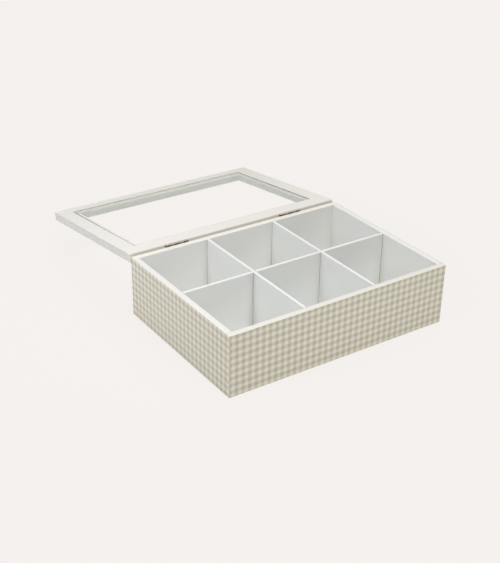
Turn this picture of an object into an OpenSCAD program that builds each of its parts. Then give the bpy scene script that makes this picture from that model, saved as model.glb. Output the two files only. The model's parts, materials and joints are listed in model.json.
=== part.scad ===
// Tea bag organizer box: a shallow fibreboard box, papered in a small check, with a
// drop-in grid of dividers that makes six cells, under a mitred lid glazed from inside.
// Millimetres. The origin is at the middle of the underside, +Z is up, the front is -Y.
// The lid is drawn laid open behind the box, a few degrees past flat, where the leaves
// of its two hinges meet.

/* [Box] */
// Outer width of the box, left to right
box_w = 240; // [220:1:320]
// Outer depth of the box, front to back
box_d = 170; // [140:1:240]
// Height of the walls
box_h = 60.5; // [45:0.5:90]
// Thickness of a wall panel
wall_t = 5.8; // [5.4:0.1:9]
// Thickness of the checked paper on the outside of the walls
paper_t = 0.2; // [0.1:0.05:0.4]
// Radius of the upright corners
corner_r = 1.2; // [0.8:0.1:3]
// Thickness of the base panel
base_t = 3; // [2:0.5:5]
// Width of the rebate in the walls that the base panel lies in
rebate_w = 3; // [2:0.5:4]

/* [Dividers] */
// Thickness of a divider
divider_t = 3; // [2:0.1:5]
// Gap between the end of a divider and the wall
divider_gap = 0.4; // [0.1:0.1:1]
// Gap on each side of a divider in the slot where it crosses another
slot_gap = 0.4; // [0.1:0.1:0.8]

/* [Lid] */
// Thickness of the lid
lid_t = 9; // [8.5:0.1:14]
// Gap between the rim and the closed lid
lid_gap = 0.5; // [0.3:0.1:1]
// Width of the lid's frame on its inner face, round a rebate for the glass in the middle
frame_w = 15.3; // [12:0.1:25]
// Width of the ledge that the glass lies on, for a rebate in the middle
ledge_w = 5.2; // [4.5:0.1:8]
// How far the rebate is set off from the middle, away from the hinges
rebate_shift = 3.4; // [0:0.1:3.5]
// Radius of the lid's outer edge, on top
edge_r = 1.5; // [0.5:0.1:2]
// Radius of the edge round the window, on top
sight_r = 0.8; // [0.3:0.1:1.5]

/* [Glass] */
// Thickness of the glass
glass_t = 2; // [1.5:0.1:3]
// Gap between the edge of the glass and the frame
glass_gap = 0.5; // [0.3:0.1:1]
// Depth of the glass below the lid's inner face
glass_inset = 0.2; // [0:0.1:0.5]
// Thickness of the adhesive bead under the glass
bead_t = 0.3; // [0.1:0.05:0.5]
// Width of the adhesive bead
bead_w = 0.8; // [0.5:0.1:1.5]
// Distance from the edge of the glass to the adhesive bead
bead_inset = 0.2; // [0.1:0.05:0.5]

/* [Hinges] */
// Length of a hinge
hinge_len = 25; // [20:1:40]
// From the left end of the box to the middle of the left hinge
hinge_from_left = 50.5; // [35:0.5:60]
// From the right end of the box to the middle of the right hinge
hinge_from_right = 56.5; // [35:0.5:60]
// Height of the hinge pin above the rim
pin_up = 1.1; // [1:0.1:1.4]
// Diameter of the hinge pin
pin_d = 0.9; // [0.6:0.1:1]
// Radial play of the pin in the knuckles
pin_play = 0.05; // [0.02:0.01:0.08]
// How far each end of the pin stands out of the last knuckle
pin_end = 0.3; // [0:0.1:0.8]
// Thickness of a hinge leaf
leaf_t = 0.8; // [0.6:0.05:0.9]
// From the pin to the far edge of a leaf
leaf_reach = 7; // [6.5:0.1:7.4]
// Radius of the outer corners of a leaf
leaf_corner_r = 0.8; // [0.3:0.1:1.5]
// Number of knuckles on a hinge
knuckles = 5; // [3:2:7]
// Gap between two knuckles
knuckle_gap = 0.4; // [0.1:0.05:0.6]
// Gap between the barrel and whatever turns past it
barrel_gap = 0.3; // [0.2:0.05:0.5]
// Angle by which the open lid stops short of pressing leaf on leaf
stop_angle = 0.67; // [0.2:0.01:1.5]

/* [Screws] */
// Diameter of a hinge screw's shank
screw_d = 2; // [1.6:0.1:2.2]
// Diameter of a hinge screw's head
screw_head_d = 3.6; // [3:0.1:4]
// Length of a hinge screw
screw_len = 5.6; // [4:0.1:5.8]
// Width of the slots of the cross recess in a screw's head
recess_w = 0.4; // [0.3:0.05:0.6]
// Depth of the cross recess
recess_deep = 0.5; // [0.3:0.1:0.7]
// Gap round a screw
screw_gap = 0.05; // [0.02:0.01:0.1]
// Distance between the two screws of a leaf
screw_pitch = 15; // [10:0.5:15]

/* [Hidden] */

$fn = 48;
past = 1;                       // how far a cutting tool runs past the face it cuts

paint = "#efece5";
check_paper = "#cfc9b8";
board = "#c9ab80";
steel = "#a8a49a";
pane = [0.82, 0.88, 0.84, 0.4];
clear_glue = [0.93, 0.93, 0.9, 0.7];

side_t = wall_t + paper_t;      // a papered wall
inner_w = box_w - 2 * side_t;
inner_d = box_d - 2 * side_t;
core_w = box_w - 2 * paper_t;   // the box before it is papered
core_d = box_d - 2 * paper_t;
core_r = corner_r - paper_t;

divider_h = box_h - base_t;     // the dividers stand on the base and end level with the rim
cell_w = (inner_w - 2 * divider_t) / 3;
cross_x = (cell_w + divider_t) / 2;

lid_z = box_h + lid_gap;        // the closed lid's inner face
glass_rebate = glass_inset + glass_t + bead_t;
window_edge = frame_w + ledge_w;

barrel_r = pin_d / 2 + pin_play + leaf_t;
pin_out = barrel_r;             // the back of a leaf runs tangent into its barrel
pin_y = box_d / 2 + pin_out;
pin_z = box_h + pin_up;
lid_droop = 2 * atan((pin_out - leaf_t) / leaf_reach) - stop_angle;
lid_open = 180 + lid_droop;
pitch = hinge_len / knuckles;
knuckle_l = pitch - knuckle_gap;
leaf_clear = barrel_r + barrel_gap; // from the pin to the flat of a leaf
screw_z = (leaf_clear + leaf_reach) / 2;
hinge_xs = [hinge_from_left - box_w / 2, box_w / 2 - hinge_from_right];

// ---- shared shapes ----

module rounded_rect(w, d, r) {
    square([w - 2 * r, d], center = true);
    square([w, d - 2 * r], center = true);
    for (x = [-1, 1], y = [-1, 1])
        translate([x * (w / 2 - r), y * (d / 2 - r)]) circle(r);
}

// A strip along the -Y side of a w by d rectangle, cut at 45 degrees at its ends
module mitred_strip(w, d, deep) {
    translate([0, -d / 2])
        polygon([
            [-w / 2 - past, -past], [w / 2 + past, -past],
            [w / 2 - deep, deep], [-w / 2 + deep, deep]
        ]);
}

// What a rounded edge takes off a square corner at the origin
module corner_waste(r) {
    difference() {
        translate([-past, -past]) square(r + past);
        translate([r, r]) circle(r);
    }
}

// Puts a piece drawn for the closed lid where it lies when the lid is laid open
module laid_open() {
    translate([0, pin_y, pin_z]) rotate([-lid_open, 0, 0]) translate([0, -pin_y, -pin_z])
        children();
}

// ---- box ----

module base_block(down = 0) {
    translate([-inner_w / 2 - rebate_w, -inner_d / 2 - rebate_w, -down])
        cube([inner_w + 2 * rebate_w, inner_d + 2 * rebate_w, base_t + down]);
}

// side is -1 for the front and 1 for the back
module long_wall(side) {
    difference() {
        linear_extrude(box_h)
            intersection() {
                rounded_rect(core_w, core_d, core_r);
                translate([0, side * (core_d - wall_t) / 2])
                    square([box_w, wall_t], center = true);
            }
        base_block(down = past);
    }
}

// side is -1 for the left and 1 for the right
module end_wall(side) {
    difference() {
        translate([side * (core_w - wall_t) / 2 - wall_t / 2, -inner_d / 2, 0])
            cube([wall_t, inner_d, box_h]);
        base_block(down = past);
    }
}

module front_wall() {
    color(paint) long_wall(-1);
}

module back_wall() {
    color(paint) difference() {
        long_wall(1);
        leaf_screws(-1, screw_gap);
    }
}

module left_wall() {
    color(paint) end_wall(-1);
}

module right_wall() {
    color(paint) end_wall(1);
}

module base_panel() {
    color(board) base_block();
}

// The sheet on the -Y side of a box w wide and d deep, folded half way round its corners
module paper_sheet(w, d) {
    linear_extrude(box_h)
        intersection() {
            difference() {
                rounded_rect(w, d, corner_r);
                rounded_rect(w - 2 * paper_t, d - 2 * paper_t, core_r);
            }
            mitred_strip(w, d, side_t);
        }
}

module front_paper() {
    color(check_paper) paper_sheet(box_w, box_d);
}

module back_paper() {
    color(check_paper) difference() {
        rotate(180) paper_sheet(box_w, box_d);
        leaf_screws(-1, screw_gap);
    }
}

module left_paper() {
    color(check_paper) rotate(-90) paper_sheet(box_d, box_w);
}

module right_paper() {
    color(check_paper) rotate(90) paper_sheet(box_d, box_w);
}

// ---- dividers ----

// A divider along X with half-height slots at xs, cut from the top or from below
module divider(len, xs, from_top) {
    slot_h = divider_h / 2 + slot_gap;
    slot_w = divider_t + 2 * slot_gap;
    translate([0, 0, base_t])
        difference() {
            translate([-len / 2, -divider_t / 2, 0]) cube([len, divider_t, divider_h]);
            for (x = xs)
                translate([
                    x - slot_w / 2, -divider_t / 2 - past,
                    from_top ? divider_h - slot_h : -past
                ])
                    cube([slot_w, divider_t + 2 * past, slot_h + past]);
        }
}

module long_divider() {
    color(paint) divider(inner_w - 2 * divider_gap, [-cross_x, cross_x], true);
}

module cross_divider() {
    rotate(90) divider(inner_d - 2 * divider_gap, [0], false);
}

module left_cross_divider() {
    color(paint) translate([-cross_x, 0, 0]) cross_divider();
}

module right_cross_divider() {
    color(paint) translate([cross_x, 0, 0]) cross_divider();
}

// ---- lid ----

// Section of the frame before it is rebated: x runs in from the outer edge, y up from
// the inner face
module frame_section() {
    difference() {
        square([window_edge, lid_t]);
        translate([0, lid_t]) mirror([0, 1]) corner_waste(edge_r);
        translate([window_edge, lid_t]) rotate(180) corner_waste(sight_r);
    }
}

// A slab with the outline of the rebate, drawn in from its edge on all sides
module rebate_slab(inset, t) {
    room = 2 * (frame_w + inset);
    translate([0, -rebate_shift, t / 2]) cube([box_w - room, box_d - room, t], center = true);
}

// The member of the closed lid along the -Y side of a w by d lid, turned to its own side
module frame_member(w, d, turn) {
    translate([0, 0, lid_z])
        difference() {
            rotate(turn) intersection() {
                translate([-w / 2, -d / 2, 0]) rotate([90, 0, 90])
                    linear_extrude(w) frame_section();
                linear_extrude(lid_t) mitred_strip(w, d, window_edge + past);
                linear_extrude(lid_t) rounded_rect(w, d, corner_r);
            }
            translate([0, 0, -past]) rebate_slab(0, glass_rebate + past);
        }
}

module lid_front_rail() {
    color(paint) laid_open() frame_member(box_w, box_d, 0);
}

// The rail is relieved along each barrel, and drilled for the screws
module lid_hinge_rail() {
    color(paint) laid_open() difference() {
        frame_member(box_w, box_d, 180);
        for (x = hinge_xs)
            translate([x, pin_y, pin_z]) rotate([0, 90, 0])
                cylinder(r = leaf_clear, h = hinge_len + 2 * barrel_gap, center = true);
        leaf_screws(1, screw_gap);
    }
}

module lid_left_stile() {
    color(paint) laid_open() frame_member(box_d, box_w, -90);
}

module lid_right_stile() {
    color(paint) laid_open() frame_member(box_d, box_w, 90);
}

module lid_glass() {
    color(pane) laid_open() translate([0, 0, lid_z + glass_inset])
        rebate_slab(glass_gap, glass_t);
}

module glass_bead() {
    inset = glass_gap + bead_inset;
    color(clear_glue) laid_open() translate([0, 0, lid_z + glass_inset + glass_t])
        difference() {
            rebate_slab(inset, bead_t);
            translate([0, 0, -past]) rebate_slab(inset + bead_w, bead_t + 2 * past);
        }
}

// ---- hinges ----

// A countersunk screw along Y. Its head's face is at y = 0 and its point towards -Y.
module screw_body(gap) {
    head_h = (screw_head_d - screw_d) / 2;
    tip_h = screw_d / 2;
    rotate([90, 0, 0]) {
        cylinder(r1 = screw_head_d / 2 + gap, r2 = screw_d / 2 + gap, h = head_h);
        translate([0, 0, head_h]) cylinder(r = screw_d / 2 + gap, h = screw_len - head_h - tip_h);
        translate([0, 0, screw_len - tip_h])
            cylinder(r1 = screw_d / 2 + gap, r2 = gap, h = tip_h + gap);
    }
}

// Cross recess in the screw's head
module cross_recess() {
    slot = [screw_head_d * 0.6, 2 * recess_deep, recess_w];
    cube(slot, center = true);
    rotate([0, 90, 0]) cube(slot, center = true);
}

// Places its children at the two screws of a leaf: way is -1 for the box, 1 for the lid
module at_leaf_screws(x, way) {
    for (side = [-1, 1])
        translate([
            x + side * screw_pitch / 2, pin_y - pin_out + leaf_t, pin_z + way * screw_z
        ])
            children();
}

// All four screws of the box (way -1) or of the closed lid (way 1), or their holes
module leaf_screws(way, gap) {
    for (x = hinge_xs) at_leaf_screws(x, way) screw_body(gap);
}

// The flat of a leaf in the upright plane at the back of the box, above the pin
module leaf_flat() {
    translate([0, leaf_t - pin_out, 0]) rotate([90, 0, 0]) linear_extrude(leaf_t)
        difference() {
            translate([-hinge_len / 2, leaf_clear]) square([hinge_len, leaf_reach - leaf_clear]);
            for (end = [0, 1])
                mirror([end, 0]) translate([-hinge_len / 2, leaf_reach]) mirror([0, 1])
                    corner_waste(leaf_corner_r);
        }
}

// A leaf with its own knuckles: way is -1 for the box, below the pin, and 1 for the lid
module hinge_leaf(x, way, own) {
    difference() {
        translate([x, pin_y, pin_z]) mirror([0, 0, way < 0 ? 1 : 0]) {
            leaf_flat();
            for (i = own)
                translate([(i + 0.5) * pitch - hinge_len / 2 - knuckle_l / 2, 0, 0]) {
                    rotate([0, 90, 0]) cylinder(r = barrel_r, h = knuckle_l);
                    translate([0, -pin_out, 0]) cube([knuckle_l, leaf_t, leaf_clear]);
                }
        }
        translate([x, pin_y, pin_z]) rotate([0, 90, 0])
            cylinder(r = pin_d / 2 + pin_play, h = hinge_len + 2 * past, center = true);
        at_leaf_screws(x, way) screw_body(screw_gap);
    }
}

module box_leaf(x) {
    color(steel) hinge_leaf(x, -1, [0:2:knuckles - 1]);
}

module lid_leaf(x) {
    color(steel) laid_open() hinge_leaf(x, 1, [1:2:knuckles - 2]);
}

// The pin has a short cone at each end
module hinge_pin(x) {
    cone = pin_d / 5;
    body = hinge_len + 2 * (pin_end - cone);
    color(steel) translate([x, pin_y, pin_z]) rotate([0, 90, 0]) {
        cylinder(d = pin_d, h = body, center = true);
        for (end = [0, 1])
            mirror([0, 0, end]) translate([0, 0, body / 2])
                cylinder(d1 = pin_d, d2 = pin_d - 2 * cone, h = cone);
    }
}

// The four screws of the box or of the lid, with their cross recesses
module screw_set(way) {
    for (x = hinge_xs) at_leaf_screws(x, way)
        difference() {
            screw_body(0);
            cross_recess();
        }
}

module left_hinge_box_leaf() {
    box_leaf(hinge_xs[0]);
}

module left_hinge_lid_leaf() {
    lid_leaf(hinge_xs[0]);
}

module left_hinge_pin() {
    hinge_pin(hinge_xs[0]);
}

module right_hinge_box_leaf() {
    box_leaf(hinge_xs[1]);
}

module right_hinge_lid_leaf() {
    lid_leaf(hinge_xs[1]);
}

module right_hinge_pin() {
    hinge_pin(hinge_xs[1]);
}

module box_hinge_screws() {
    color(steel) screw_set(-1);
}

module lid_hinge_screws() {
    color(steel) laid_open() screw_set(1);
}

front_wall();
back_wall();
left_wall();
right_wall();
base_panel();
front_paper();
back_paper();
left_paper();
right_paper();
long_divider();
left_cross_divider();
right_cross_divider();
lid_front_rail();
lid_hinge_rail();
lid_left_stile();
lid_right_stile();
lid_glass();
glass_bead();
left_hinge_box_leaf();
left_hinge_lid_leaf();
left_hinge_pin();
right_hinge_box_leaf();
right_hinge_lid_leaf();
right_hinge_pin();
box_hinge_screws();
lid_hinge_screws();
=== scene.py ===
import json
import math

import bmesh
import bpy
from mathutils import Matrix, Vector


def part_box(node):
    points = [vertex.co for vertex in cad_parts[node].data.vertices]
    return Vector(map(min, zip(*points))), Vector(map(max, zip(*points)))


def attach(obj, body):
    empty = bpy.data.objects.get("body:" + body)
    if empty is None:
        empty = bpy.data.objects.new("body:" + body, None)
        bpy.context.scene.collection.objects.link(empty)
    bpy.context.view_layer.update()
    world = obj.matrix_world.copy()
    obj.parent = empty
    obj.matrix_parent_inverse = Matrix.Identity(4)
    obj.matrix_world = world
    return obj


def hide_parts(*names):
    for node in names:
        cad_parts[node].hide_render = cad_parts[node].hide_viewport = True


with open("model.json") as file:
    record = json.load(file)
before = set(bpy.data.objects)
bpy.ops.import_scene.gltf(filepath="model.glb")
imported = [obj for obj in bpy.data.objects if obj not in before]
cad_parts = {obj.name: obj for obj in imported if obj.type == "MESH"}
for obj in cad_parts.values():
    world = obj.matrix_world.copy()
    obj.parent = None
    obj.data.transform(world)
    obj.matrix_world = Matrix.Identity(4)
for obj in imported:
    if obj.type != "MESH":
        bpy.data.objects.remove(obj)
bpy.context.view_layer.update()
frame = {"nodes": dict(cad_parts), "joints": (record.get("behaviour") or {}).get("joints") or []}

# Tea bag organizer box, laid open: a papered fibreboard box with a grid of dividers,
# and a glazed lid on two small hinges. Metres here, millimetres inside the finishes.

nodes = frame["nodes"]
hinge_joint = frame["joints"][0]
hinge_line = Vector(hinge_joint["pos_m"])
open_angle = math.radians(hinge_joint["range_deg"][1])

mm = 0.001
rim_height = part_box("front_wall")[1].z / mm
box_left, box_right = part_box("left_paper")[0].x / mm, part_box("right_paper")[1].x / mm
box_front, box_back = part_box("front_paper")[0].y / mm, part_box("back_paper")[1].y / mm
sight_edge = 20.5  # where the lid's window opens, in from the lid's outer sides
check = 6.75  # one repeat of the check: a light stripe and a coloured one


def written(red, green, blue):
    """The colour that a picture shows as these 0 to 255 values."""
    def linear(value):
        value /= 255
        return value / 12.92 if value <= 0.04045 else ((value + 0.055) / 1.055) ** 2.4
    return (linear(red), linear(green), linear(blue), 1.0)


def toned(colour, by):
    """A colour made lighter or darker by a factor."""
    return tuple(min(1.0, part * by) for part in colour[:3]) + (1.0,)


# ---- camera ----

def place_camera():
    """The photograph's own viewpoint, solved from the edges of the box. The three directions
    are the picture's right, its down and the way that the camera looks."""
    right = Vector((0.83039, -0.55696, 0.01571))
    down = Vector((-0.25255, -0.40137, -0.88041))
    ahead = Vector((0.49665, 0.72712, -0.47395))
    turn = Matrix((right, -down, -ahead)).transposed()
    camera = bpy.data.objects.new("camera", bpy.data.cameras.new("camera"))
    camera.data.sensor_width = 36
    camera.data.lens = 68.333
    camera.data.clip_start, camera.data.clip_end = 0.01, 50
    camera.rotation_mode = "QUATERNION"
    camera.rotation_quaternion = turn.to_quaternion()
    camera.location = (-0.52904, -0.71201, 0.51534)
    bpy.context.scene.collection.objects.link(camera)
    bpy.context.scene.camera = camera


place_camera()


# ---- finishes ----

class Value:
    """A shader socket that Python arithmetic works on, through Math nodes."""

    def __init__(self, finish, socket):
        self.finish, self.socket = finish, socket

    def math(self, operation, *others):
        inputs = {0: self, **{i + 1: other for i, other in enumerate(others)}}
        return self.finish.add("ShaderNodeMath", {"operation": operation}, inputs)

    def __add__(self, other):
        return self.math("ADD", other)

    __radd__ = __add__

    def __sub__(self, other):
        return self.math("SUBTRACT", other)

    def __rsub__(self, other):
        return (self * -1) + other

    def __mul__(self, other):
        return self.math("MULTIPLY", other)

    def __truediv__(self, other):
        return self.math("DIVIDE", other)

    def least(self, other):
        return self.math("MINIMUM", other)

    def most(self, other):
        return self.math("MAXIMUM", other)

    def sine(self):
        return self.math("SINE")

    def size(self):
        return self.math("ABSOLUTE")

    def clamped(self):
        return self.most(0).least(1)

    def rising(self, start, end):
        """0 below start, 1 above end, and straight between them."""
        return ((self - start) / (end - start)).clamped()

    def falling(self, start, end):
        """1 below start, 0 above end, and straight between them."""
        return 1 - self.rising(start, end)


class Finish:
    """A finish being mixed: one material, its shader and the nodes that vary it."""

    def __init__(self, name, on_lid=False, **constants):
        self.material = bpy.data.materials.new(name)
        self.material.use_nodes = True
        self.tree = self.material.node_tree
        self.shader = next(n for n in self.tree.nodes if n.type == "BSDF_PRINCIPLED")
        self.surface = Value(self, self.shader.outputs[0])
        for socket, value in constants.items():
            self.set(socket.replace("_", " "), value)
        spot = self.add("ShaderNodeTexCoord", output="Object")
        if on_lid:
            back = Matrix.Rotation(open_angle, 3, "X")
            spot = self.add("ShaderNodeMapping", {"vector_type": "POINT"}, {
                "Vector": spot,
                "Location": hinge_line - back @ hinge_line,
                "Rotation": (open_angle, 0, 0),
            })
        self.spot = self.add(
            "ShaderNodeVectorMath", {"operation": "SCALE"}, {0: spot, "Scale": 1 / mm}
        )
        self.x, self.y, self.z = (
            self.add("ShaderNodeSeparateXYZ", {}, {0: self.spot}, output=axis)
            for axis in "XYZ"
        )

    def add(self, kind, settings=None, inputs=None, output=0):
        """A new node with its settings and inputs, as the value of one output."""
        made = self.tree.nodes.new(kind)
        for name, setting in (settings or {}).items():
            setattr(made, name, setting)
        for name, value in (inputs or {}).items():
            self.feed(made.inputs[name], value)
        return Value(self, made.outputs[output])

    def feed(self, socket, value):
        if isinstance(value, Value):
            self.tree.links.new(value.socket, socket)
        else:
            socket.default_value = value

    def set(self, socket, value):
        self.feed(self.shader.inputs[socket], value)

    def noise(self, size, detail=2, roughness=0.5, shift=0.0):
        """Cloudy values round 0.5, with patches about as wide as size in millimetres."""
        spot = self.spot
        if shift:
            spot = self.add(
                "ShaderNodeVectorMath", {"operation": "ADD"}, {0: spot, 1: (shift,) * 3}
            )
        return self.add("ShaderNodeTexNoise", {}, {
            "Vector": spot, "Scale": 1 / size, "Detail": detail, "Roughness": roughness,
        })

    def streaks(self, size, stretch, detail):
        """Noise drawn out by a factor along each axis, for brush marks and fibres."""
        spot = self.add(
            "ShaderNodeVectorMath", {"operation": "DIVIDE"}, {0: self.spot, 1: stretch}
        )
        return self.add("ShaderNodeTexNoise", {}, {
            "Vector": spot, "Scale": 1 / size, "Detail": detail,
        })

    def mix(self, share, first, second):
        """A colour that goes from first to second as share goes from 0 to 1."""
        return self.add("ShaderNodeMix", {"data_type": "RGBA"}, {0: share, 6: first, 7: second},
                        output=2)

    def blend(self, share, other):
        """Lays another shader over this finish, by a share from 0 to 1."""
        self.surface = self.add("ShaderNodeMixShader", {}, {
            0: share, 1: self.surface, 2: other,
        })
        end = next(n for n in self.tree.nodes if n.type == "OUTPUT_MATERIAL")
        self.tree.links.new(self.surface.socket, end.inputs["Surface"])

    def relief(self, height, depth, below=None):
        """Raises the surface by height, 0 to 1, times depth in millimetres."""
        inputs = {"Height": height, "Distance": depth * mm, "Strength": 1.0}
        if below is not None:
            inputs["Normal"] = below
        return self.add("ShaderNodeBump", {}, inputs)

    def inward(self, low, high):
        """Distance in from the sides of a rectangle seen from above, in millimetres."""
        across = (self.x - low[0]).least(high[0] - self.x)
        return across.least((self.y - low[1]).least(high[1] - self.y))

    def edge_distance(self, low, high):
        """Distance to the nearest edge of a straight block, in millimetres."""
        a, b, c = (
            (place - low[i]).least(high[i] - place)
            for i, place in enumerate((self.x, self.y, self.z))
        )
        return a.least(b).most(a.most(b).least(c))


def white_paint(name, tone, low, high, on_lid=False, bare_below=None, other_tones=None):
    """Sprayed satin paint on fibreboard: soft tone drift, fine stipple, thin worn edges.
    low and high are the block's corners in millimetres, for its edges. other_tones takes
    the finish and gives pairs of a share and the tone laid there, some of them painted light and
    shade."""
    finish = Finish(name, on_lid=on_lid, IOR=1.47)
    drift = finish.noise(55, 3, shift=7)
    stipple = finish.noise(0.7, 3, 0.6)
    waves = finish.noise(9, 2, shift=31)
    colour = finish.mix(drift, toned(tone, 0.975), toned(tone, 1.02))
    for share, other in other_tones(finish) if other_tones else ():
        colour = finish.mix(share, colour, other)
    edge = finish.edge_distance(low, high)
    worn = edge.falling(0.15, 0.9) * finish.noise(3.5, 4, 0.65, shift=3).rising(0.42, 0.72)
    colour = finish.mix(worn * 0.5, colour, written(214, 204, 186))
    if bare_below is not None:
        bare = finish.z.falling(bare_below, bare_below + 0.15)
        fibre = finish.noise(0.9, 5, 0.7, shift=11)
        board = finish.mix(fibre, written(150, 118, 84), written(186, 154, 116))
        colour = finish.mix(bare, colour, board)
    finish.set("Base Color", colour)
    finish.set("Roughness", 0.46 + stipple * 0.1 + worn * 0.2)
    fine = finish.relief(stipple, 0.012)
    finish.set("Normal", finish.relief(waves, 0.05, fine))
    return finish.material


def off_faces(place, axis, low_wall, high_wall, dividers):
    """Distance to the nearest upright face across an axis, in millimetres."""
    low, high = block(low_wall)[1][axis], block(high_wall)[0][axis]
    nearest = (place - low).size().least((high - place).size())
    for divider in dividers:
        start, end = (corner[axis] for corner in block(divider))
        from_middle = (place - (start + end) / 2).size()
        nearest = nearest.least((from_middle - (end - start) / 2).size())
    return nearest


def cell_tones_of(top_shade=0.0, rim_light_tone=None):
    """Painted shade on the cells' inner faces: greyer towards the upright corners of the cells
    and, by the given share, darker higher up and further right. A wall's rim gets its own tone,
    lighter or darker per wall as painted light and shade."""
    def tones(finish):
        corner = off_faces(finish.x, 0, "left_wall", "right_wall",
                           ("left_cross_divider", "right_cross_divider"))
        corner = corner.most(off_faces(finish.y, 1, "front_wall", "back_wall",
                                       ("long_divider",)))
        inside = finish.z.falling(rim_height - 0.4, rim_height - 0.2)
        # painted shade: darker towards the top of the inner faces and further right, by the given
        # share
        shaded_top = finish.z.rising(30, rim_height) * finish.x.rising(-110, 40) * top_shade
        # the tone of the painted shade
        shade_tone = written(205, 204, 198)
        # painted shade in the upright corners of the cells
        found = [(shaded_top * inside, shade_tone), (corner.falling(0, 10) * inside * 0.2, shade_tone)]
        # painted light and shade: each wall's rim has a lighter or darker tone of its own
        if rim_light_tone:
            found.append((finish.z.rising(rim_height - 0.3, rim_height - 0.05), rim_light_tone))
        return found
    return tones


def lid_sides_of(ledge_tone, dark_strip):
    """The lid's painted shade: darker outer sides, a warmer hinge edge, the ledge under the glass
    in its given tone and a darker, greenish sight edge below it. The second argument is the share
    of a dark strip painted along the pane's edge, which thins out towards the hinges."""
    def tones(finish):
        from_outside = finish.inward((box_left, box_front), (box_right, box_back))
        from_pane = finish.inward(*closed_block("lid_glass"))
        # a dark strip painted along the pane's edge, fading out towards the hinges
        strip_share = from_pane.rising(0.1, 0.4) * from_pane.falling(2.1, 2.9)
        strip_share = strip_share * finish.y.falling(-65, 25) * dark_strip
        skin = (0.05, 0.25)  # how deep the painted shade on a side is full, and where it ends
        return [
            # painted shade on the lid's outer sides, and a warmer painted shade on its hinge edge
            (from_outside.falling(*skin), written(213, 211, 203)),
            ((box_back - finish.y).falling(*skin), written(230, 225, 214)),
            # the ledge under the glass in its given tone, painted shade on three of the members
            (from_pane.rising(-0.4, -0.2), ledge_tone),
            # the dark strip along the pane's edge
            (strip_share, written(112, 115, 106)),
            # painted shade, greenish, on the sight edge under the glass
            (from_outside.rising(sight_edge - 0.3, sight_edge - 0.1), written(168, 175, 164)),
        ]
    return tones


def checked_paper(name, along, first_light, top_light, light, dark):
    """Paper printed in a small two-way check with the look of a plain weave.
    first_light and top_light are where a light stripe has its middle, along the sheet and up it."""
    finish = Finish(name, IOR=1.46)
    across, up = (finish.x if along == "X" else finish.y), finish.z
    wander = finish.noise(14, 2, shift=5) * 0.16 - 0.08
    yarn_pairs = 8  # of the woven look, in one repeat of the check

    def stripes(place, middle):
        """1 in the coloured stripes and 0 in the light ones."""
        wave = ((place + wander - middle) * (2 * math.pi / check) - math.pi / 2).sine()
        return (wave * 5 + 0.5).clamped()

    def yarns(place):
        return (place * (yarn_pairs * 2 * math.pi / check)).sine()

    warp, weft = stripes(across, first_light), stripes(up, top_light)
    over = (yarns(across) * yarns(up) * 1.4 + 0.5).clamped()
    woven = warp * over + weft * (1 - over)
    tint = woven * 0.45 + (warp + weft) * 0.275
    ink = finish.noise(0.35, 3, 0.7) * 0.1 - 0.05
    drift = finish.noise(60, 2, shift=19)
    colour = finish.mix((tint + ink * tint).clamped(), light, dark)
    colour = finish.mix(drift * 0.06, colour, written(196, 186, 162))
    corner = (finish.x - box_left).least(box_right - finish.x)
    corner = corner.most((finish.y - box_front).least(box_back - finish.y))
    edge = (rim_height - finish.z).least(finish.z).least(corner)
    scuff = edge.falling(0.1, 0.7) * finish.noise(2.6, 4, 0.65, shift=2).rising(0.5, 0.7)
    colour = finish.mix(scuff * 0.3, colour, written(222, 218, 206))
    finish.set("Base Color", colour)
    finish.set("Roughness", 0.52 + finish.noise(1.1, 3) * 0.12 + scuff * 0.15)
    fibres = finish.noise(0.28, 4, 0.7, shift=9)
    finish.set("Normal", finish.relief(over * 0.5 + fibres * 0.5, 0.03))
    return finish.material


def base_board():
    """The base: painted on the inside, and bare hardboard with its screen pattern below."""
    finish = Finish("base_board", IOR=1.45)
    fibre = finish.noise(0.8, 5, 0.7)
    cloud = finish.noise(26, 3, shift=13)
    bare = finish.mix(fibre, written(134, 98, 64), written(172, 134, 94))
    bare = finish.mix(cloud * 0.4, bare, written(120, 88, 58))
    painted = finish.mix(cloud, written(236, 237, 232), written(242, 243, 238))
    inside = finish.z.rising(1.0, 1.4)
    screen_pitch = 1.6
    screen_x, screen_y = (
        (place * (2 * math.pi / screen_pitch)).sine() for place in (finish.x, finish.y)
    )
    screen = screen_x * screen_y
    finish.set("Base Color", finish.mix(inside, bare, painted))
    finish.set("Roughness", 0.78 - inside * 0.22 + fibre * 0.08)
    height = (screen * 0.5 + 0.5) * (1 - inside) + fibre * 0.3
    finish.set("Normal", finish.relief(height, 0.06))
    return finish.material


def hinge_steel(name, tone, on_lid=False, leaf_way=0):
    """Plated steel: bright, finely rolled, a little dulled in patches. leaf_way is -1 where
    the leaf lies below the pin and 1 where above. Painted shade darkens the crease beside it, and
    on the upper leaf also the barrel's low side."""
    finish = Finish(name, on_lid=on_lid, Metallic=1.0)
    rolled = finish.streaks(0.12, (18, 1, 1), 3)
    dull = finish.noise(2.2, 4, 0.65).rising(0.45, 0.8)
    colour = finish.mix(dull * 0.5, tone, toned(tone, 0.72))
    colour = finish.mix(rolled * 0.25, colour, toned(tone, 1.15))
    if leaf_way:
        along_leaf = (finish.z - hinge_line.z / mm) * leaf_way
        outward = finish.y - hinge_line.y / mm
        # painted shade in the crease beside the barrel
        crease_shade = along_leaf.rising(-0.7, 0.1) * along_leaf.falling(1.3, 1.7)
        crease_shade = crease_shade * outward.falling(-0.4, 0.0)
        if leaf_way > 0:
            # painted shade on the barrel's low side
            low_side_shade = along_leaf.rising(-0.3, 0.5) * outward.rising(-0.2, 0.3)
            crease_shade = crease_shade.most(low_side_shade * 0.85)
        # the dark tone of the painted shade
        colour = finish.mix(crease_shade, colour, written(66, 60, 52))
    finish.set("Base Color", colour)
    finish.set("Roughness", 0.26 + rolled * 0.14 + dull * 0.16)
    finish.set("Normal", finish.relief(rolled, 0.006))
    return finish.material


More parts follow.
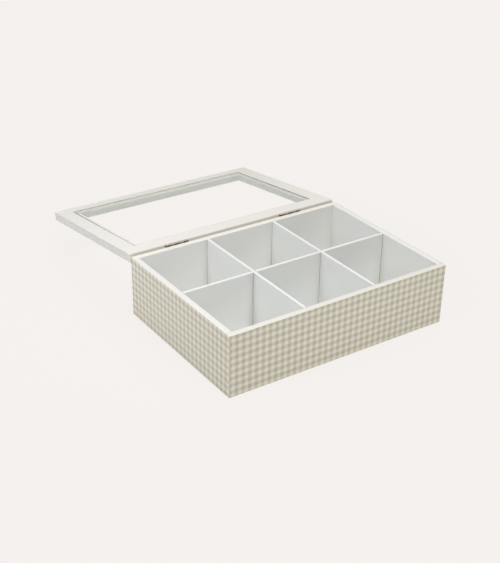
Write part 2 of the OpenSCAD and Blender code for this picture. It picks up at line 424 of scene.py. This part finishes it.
def window_glass(low, high):
    """Clear glass with a ground, greenish edge. low and high are the pane's corners. Its
    shadow is as pale as real glass casts, so the cells stay bright under the shut lid."""
    finish = Finish("window_glass", on_lid=True, IOR=1.52, Transmission_Weight=1.0)
    ground = finish.inward(low, high).falling(0.02, 0.08)
    grain = finish.noise(0.5, 3, 0.6)
    green = finish.mix(grain, written(134, 151, 138), written(156, 172, 160))
    finish.set("Base Color", finish.mix(ground, (0.995, 1.0, 0.996, 1), green))
    finish.set("Roughness", ground * (0.35 + grain * 0.25))
    frosted = finish.add("ShaderNodeBsdfPrincipled", {}, {"Base Color": green, "Roughness": 0.6})
    finish.blend(ground * 0.2, frosted)
    pale_shadow = finish.add("ShaderNodeBsdfTransparent", {}, {"Color": (0.88, 0.9, 0.885, 1)})
    to_lamp = finish.add("ShaderNodeLightPath", output="Is Shadow Ray")
    finish.blend(to_lamp * (1 - ground), pale_shadow)
    return finish.material


def clear_adhesive():
    """A set bead of milky adhesive, a little lumpy."""
    finish = Finish("clear_adhesive", on_lid=True, IOR=1.41, Transmission_Weight=0.35)
    lumps = finish.noise(1.8, 3, 0.55)
    finish.set("Base Color", finish.mix(lumps, written(206, 208, 200), written(232, 232, 224)))
    finish.set("Roughness", 0.3 + lumps * 0.3)
    finish.set("Normal", finish.relief(lumps, 0.08))
    return finish.material


# ---- pieces ----

def dress(node, material):
    """Gives a CAD node its finish."""
    mesh = nodes[node].data
    mesh.materials.clear()
    mesh.materials.append(material)


def block(node):
    """A node's lowest and highest corners in millimetres."""
    low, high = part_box(node)
    return low / mm, high / mm


def closed_block(node):
    """The same for a lid node, with the lid turned shut about its hinges."""
    turn = Matrix.Translation(hinge_line) @ Matrix.Rotation(open_angle, 4, "X")
    turn = turn @ Matrix.Translation(-hinge_line)
    places = [turn @ v.co for v in nodes[node].data.vertices]
    low = Vector(min(p[i] for p in places) for i in range(3))
    high = Vector(max(p[i] for p in places) for i in range(3))
    return low / mm, high / mm


def eased(name, node, body, softness, steps=2):
    """A piece made from a merged copy of a node's mesh, with its sharp edges eased."""
    same_place, flat, sharp_from = 0.001 * mm, math.radians(1), math.radians(30)
    mesh = bpy.data.meshes.new(name)
    shape = bmesh.new()
    shape.from_mesh(nodes[node].data)
    bmesh.ops.remove_doubles(shape, verts=shape.verts, dist=same_place)
    bmesh.ops.dissolve_limit(shape, angle_limit=flat, verts=shape.verts, edges=shape.edges)
    sharp = [e for e in shape.edges
             if len(e.link_faces) == 2 and e.calc_face_angle() > sharp_from]
    bmesh.ops.bevel(shape, geom=sharp, offset=softness * mm, offset_type="OFFSET",
                    segments=steps, profile=0.5, affect="EDGES", material=-1,
                    clamp_overlap=True)
    for face in shape.faces:
        face.smooth = True
    shape.to_mesh(mesh)
    shape.free()
    piece = bpy.data.objects.new(name, mesh)
    bpy.context.scene.collection.objects.link(piece)
    weighted = piece.modifiers.new("flat faces stay flat", "WEIGHTED_NORMAL")
    weighted.weight = 100
    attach(piece, body)
    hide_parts(node)
    return piece


def finish_piece(piece, material):
    """Gives a piece made here its finish."""
    piece.data.materials.append(material)


wall_white = written(241, 241, 237)
divider_white = written(240, 241, 238)
lid_white = written(242, 238, 230)

walls = {  # the share of painted shade high up inside each wall, and its rim's tone: painted light and shade
    "front_wall": (0.0, written(234, 230, 221)),
    "back_wall": (0.25, written(245, 241, 231)),
    "left_wall": (0.0, written(235, 234, 229)),
    "right_wall": (0.0, written(238, 237, 232)),
}
for wall, (top_shade, rim_light_tone) in walls.items():
    piece = eased(wall + "_panel", wall, "box", 0.25)
    paint = white_paint(wall + "_paint", wall_white, *block(wall), bare_below=0.0,
                        other_tones=cell_tones_of(top_shade, rim_light_tone))
    finish_piece(piece, paint)

# the share of painted shade high up on each divider
dividers = {"long_divider": 0.3, "left_cross_divider": 0.0, "right_cross_divider": 0.0}
for divider, top_shade in dividers.items():
    piece = eased(divider + "_panel", divider, "box", 0.2)
    paint = white_paint(divider + "_paint", divider_white, *block(divider),
                        other_tones=cell_tones_of(top_shade))
    finish_piece(piece, paint)

dress("base_panel", base_board())

light_check, dark_check = written(228, 223, 207), written(187, 182, 165)
sheets = {  # the way each runs, and where a light stripe has its middle along and up it
    "front_paper": ("X", box_left + 4.0, rim_height - 4.47),
    "back_paper": ("X", box_right - 4.0, rim_height - 4.47),
    "left_paper": ("Y", box_back - 5.65, rim_height - 0.77),
    "right_paper": ("Y", box_back - 5.65, rim_height - 0.77),
}
for sheet, (along, first_light, top_light) in sheets.items():
    dress(sheet, checked_paper(sheet + "_print", along, first_light, top_light,
                               light_check, dark_check))

lid_members = {  # the ledge's tone under the glass, darker and green on three members as painted shade and glass tint, and the share of a dark strip along the pane's edge
    "lid_front_rail": (written(191, 197, 183), 0.0),
    "lid_hinge_rail": (written(191, 197, 183), 0.0),
    "lid_left_stile": (written(243, 242, 238), 1.0),
    "lid_right_stile": (written(185, 191, 178), 0.0),
}
for member, (ledge_tone, dark_strip) in lid_members.items():
    piece = eased(member + "_wood", member, "lid", 0.12)
    paint = white_paint(member + "_paint", lid_white, *closed_block(member), on_lid=True,
                        other_tones=lid_sides_of(ledge_tone, dark_strip))
    finish_piece(piece, paint)

pane = eased("lid_pane", "lid_glass", "lid", 0.1, steps=1)
finish_piece(pane, window_glass(*closed_block("lid_glass")))
dress("glass_bead", clear_adhesive())

nickel, dull_nickel = written(206, 200, 189), written(132, 126, 117)
for side in ("left", "right"):
    for part, body, tone, leaf_way in (("box_leaf", "box", nickel, -1),
                                       ("lid_leaf", "lid", nickel, 1),
                                       ("pin", "box", dull_nickel, 0)):
        node = f"{side}_hinge_{part}"
        piece = eased(node + "_plated", node, body, 0.06)
        steel = hinge_steel(node + "_steel", tone, on_lid=body == "lid", leaf_way=leaf_way)
        finish_piece(piece, steel)
for node, body in (("box_hinge_screws", "box"), ("lid_hinge_screws", "lid")):
    dress(node, hinge_steel(node + "_steel", written(178, 176, 172), on_lid=body == "lid"))


# ---- light, floor and background ----

backdrop = written(245, 241, 238)


def seen_directly(tree):
    """1 for camera, mirror and glass rays, and 0 for the rays that light the object."""
    path = tree.nodes.new("ShaderNodeLightPath")
    seen = path.outputs["Is Camera Ray"]
    for ray in ("Is Glossy Ray", "Is Transmission Ray"):
        either = tree.nodes.new("ShaderNodeMath")
        either.operation = "MAXIMUM"
        tree.links.new(seen, either.inputs[0])
        tree.links.new(path.outputs[ray], either.inputs[1])
        seen = either.outputs[0]
    return seen


def set_world(strength):
    """An even room light. The camera, mirrors and glass see the pale backdrop instead."""
    world = bpy.data.worlds.new("studio")
    bpy.context.scene.world = world
    world.use_nodes = True
    tree = world.node_tree
    tree.nodes.clear()
    room, seen = tree.nodes.new("ShaderNodeBackground"), tree.nodes.new("ShaderNodeBackground")
    room.inputs["Strength"].default_value = strength
    seen.inputs["Color"].default_value = backdrop
    choose = tree.nodes.new("ShaderNodeMixShader")
    tree.links.new(seen_directly(tree), choose.inputs[0])
    tree.links.new(room.outputs[0], choose.inputs[1])
    tree.links.new(seen.outputs[0], choose.inputs[2])
    end = tree.nodes.new("ShaderNodeOutputWorld")
    tree.links.new(choose.outputs[0], end.inputs[0])


def lay_floor(kept_shadow):
    """A pale floor under the box. It reads as the backdrop, with part of its shadows kept,
    but the pane shows it without them."""
    half_width, gap = 20, 0.3 * mm
    shadow_full, shadow_gone = 150, 300  # from the middle of the box's back, in millimetres
    shape = bmesh.new()
    bmesh.ops.create_grid(shape, x_segments=1, y_segments=1, size=half_width)
    bmesh.ops.translate(shape, verts=shape.verts, vec=(0, 0, -gap))
    mesh = bpy.data.meshes.new("floor")
    shape.to_mesh(mesh)
    shape.free()
    floor = bpy.data.objects.new("floor", mesh)
    bpy.context.scene.collection.objects.link(floor)
    finish = Finish("floor", Roughness=1.0, Specular_IOR_Level=0.0,
                    Base_Color=written(238, 234, 230))
    glow = finish.add("ShaderNodeEmission", {}, {"Color": backdrop})
    away = finish.y - box_back
    distance = (finish.x * finish.x + away * away).math("SQRT")
    near = distance.falling(shadow_full, shadow_gone)
    in_pane = finish.add("ShaderNodeLightPath", output="Is Transmission Ray")
    shadow = near * kept_shadow * (1 - in_pane)
    finish.blend(Value(finish, seen_directly(finish.tree)) * (1 - shadow), glow)
    floor.data.materials.append(finish.material)


def hang_lamp(name, place, aim, width, watts, tint):
    """A square lamp that isn't seen in the steel or in and through the pane."""
    lamp = bpy.data.lights.new(name, "AREA")
    lamp.shape, lamp.size, lamp.energy, lamp.color = "SQUARE", width, watts, tint
    hung = bpy.data.objects.new(name, lamp)
    hung.location = place
    hung.rotation_mode = "QUATERNION"
    hung.rotation_quaternion = (Vector(aim) - Vector(place)).to_track_quat("-Z", "Y")
    hung.visible_glossy = hung.visible_transmission = False
    bpy.context.scene.collection.objects.link(hung)


set_world(strength=0.21)
lay_floor(kept_shadow=0.08)
hang_lamp("top front softbox", place=(-0.1, -0.4, 0.8), aim=(-0.05, 0, 0.06),
          width=0.4, watts=3.76, tint=(1.01, 1, 1.04))
hang_lamp("top back softbox", place=(0.35, 0.25, 0.9), aim=(0, 0.1, 0.06),
          width=0.4, watts=2.62, tint=(0.97, 1, 0.97))
hang_lamp("left softbox", place=(-0.6, 0.0, 0.4), aim=(-0.1, 0, 0.03),
          width=0.3, watts=1.44, tint=(1, 1, 1.05))
hang_lamp("low front softbox", place=(0.15, -0.6, 0.05), aim=(0.05, -0.085, 0.03),
          width=0.3, watts=0.8, tint=(0.96, 1, 0.94))
hang_lamp("low left lamp", place=(-0.4, 0.3, 0.16), aim=(-0.12, 0.16, 0.03),
          width=0.16, watts=0.27, tint=(0.9, 1, 1.15))

bpy.context.scene.view_settings.view_transform = "Standard"
